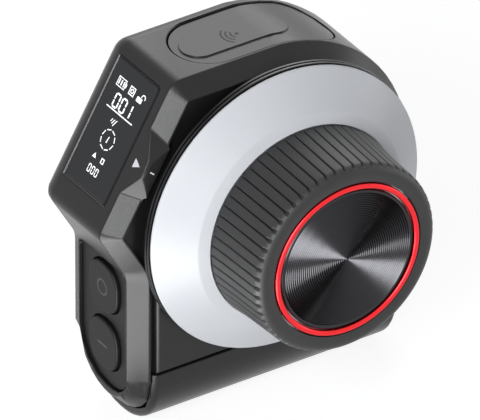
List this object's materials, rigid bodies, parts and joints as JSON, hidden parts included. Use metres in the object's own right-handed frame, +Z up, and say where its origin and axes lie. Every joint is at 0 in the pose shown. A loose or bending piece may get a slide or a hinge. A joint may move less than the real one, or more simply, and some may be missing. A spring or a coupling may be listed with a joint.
{
  "type": "wireless handwheel controller",
  "caption": "Palm-sized wireless handwheel controller: slanted display face, side keys, antenna cover on top and a ribbed handwheel with a white marking ring.",
  "frame": {"origin": "middle of the underside that the controller stands on, straight below the wheel's axis line", "axes": "+Z up, wheel on the -Y side and turning about Y, display face and keys on the -X side, mount at the back on the +Y side"},
  "size_m": [0.075, 0.0553, 0.0819],
  "materials": {
    "housing": "moulded dark grey, fine grain",
    "plate": "dark grey, satin",
    "cover": "dark grey, satin",
    "window": "smoked, polished",
    "silicone": "matt silicone",
    "tyre": "matt rubber",
    "white": "white, writable",
    "black": "black, satin",
    "red": "anodised red",
    "cap": "black, turned",
    "aluminium": "turned",
    "steel": "bright",
    "dark_steel": "blackened",
    "brass": "turned",
    "board": "solder mask",
    "cell": "shrink sleeve",
    "sensor": "moulded package"
  },
  "bodies": {
    "base": {"main_housing": "housing", "front_plate": "plate", "bottom_shell": "housing", "rear_cover": "housing", "mount_insert": "brass", "display_window": "window", "display_module": "sensor", "antenna_cover": "cover", "antenna_patch": "board", "keypad_mat": "silicone", "key_board": "board", "upper_switch": "sensor", "lower_switch": "sensor", "main_board": "board", "encoder_chip": "sensor", "battery_holder": "black", "battery_cell": "cell", "usb_port": "steel", "front_bearing": "steel", "rear_bearing": "steel", "cover_screw_1": "dark_steel", "cover_screw_2": "dark_steel", "cover_screw_3": "dark_steel", "cover_screw_4": "dark_steel", "plate_screw_1": "dark_steel", "plate_screw_2": "dark_steel", "plate_screw_3": "dark_steel", "shell_screw_1": "dark_steel", "shell_screw_2": "dark_steel"},
    "handwheel": {"wheel_shaft": "steel", "retaining_clip": "dark_steel", "encoder_magnet": "steel", "wheel_hub": "aluminium", "hub_screw": "dark_steel", "ring_carrier": "black", "marking_ring": "white", "rubber_grip": "tyre", "accent_ring": "red", "end_cap": "cap", "stop_pin": "steel"},
    "upper_key_body": {"upper_key": "silicone"},
    "lower_key_body": {"lower_key": "silicone"}
  },
  "joints": [
    {"name": "handwheel_turn", "type": "hinge", "parent": "base", "child": "handwheel", "pos_m": [0, -0.0125, 0.0475], "axis": [0, 1, 0], "range_deg": [-150, 150]},
    {"name": "upper_key_press", "type": "slide", "parent": "base", "child": "upper_key_body", "axis": [1, 0, 0], "range_m": [0, 0.0005], "stiffness_N_per_m": 800, "springref_m": -0.0005},
    {"name": "lower_key_press", "type": "slide", "parent": "base", "child": "lower_key_body", "axis": [1, 0, 0], "range_m": [0, 0.0005], "stiffness_N_per_m": 800, "springref_m": -0.0005}
  ]
}
